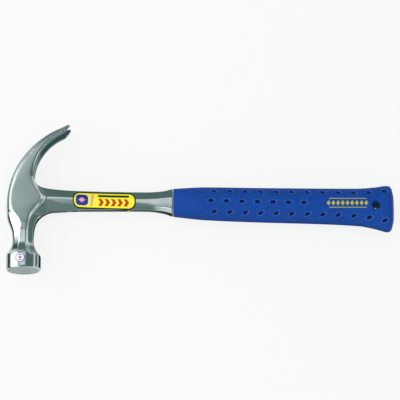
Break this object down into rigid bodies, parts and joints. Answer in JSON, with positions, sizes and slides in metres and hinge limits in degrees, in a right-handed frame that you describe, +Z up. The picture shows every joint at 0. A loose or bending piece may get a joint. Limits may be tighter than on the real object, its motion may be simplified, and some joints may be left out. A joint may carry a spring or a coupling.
{
  "type": "curved claw hammer",
  "caption": "One-piece forged claw hammer with a curved nail-pulling claw, round striking face, faceted steel shank and a dimpled blue vinyl grip with a hang hole.",
  "frame": {"origin": "under the middle of the hammer's bounding box, on the surface that it lies on", "axes": "+X along the handle from the head to the grip's end, +Y from the striking face to the claw, +Z up, across the hammer's width"},
  "size_m": [0.33, 0.127, 0.0298],
  "materials": {
    "forged_steel": "polished",
    "grip_vinyl": "matte",
    "label_film": "gloss",
    "sticker_film": "gloss"
  },
  "bodies": {
    "root": {"forged_head_and_shank": "forged_steel", "vinyl_grip": "grip_vinyl", "shank_label": "label_film", "bell_sticker": "sticker_film"}
  },
  "joints": []
}
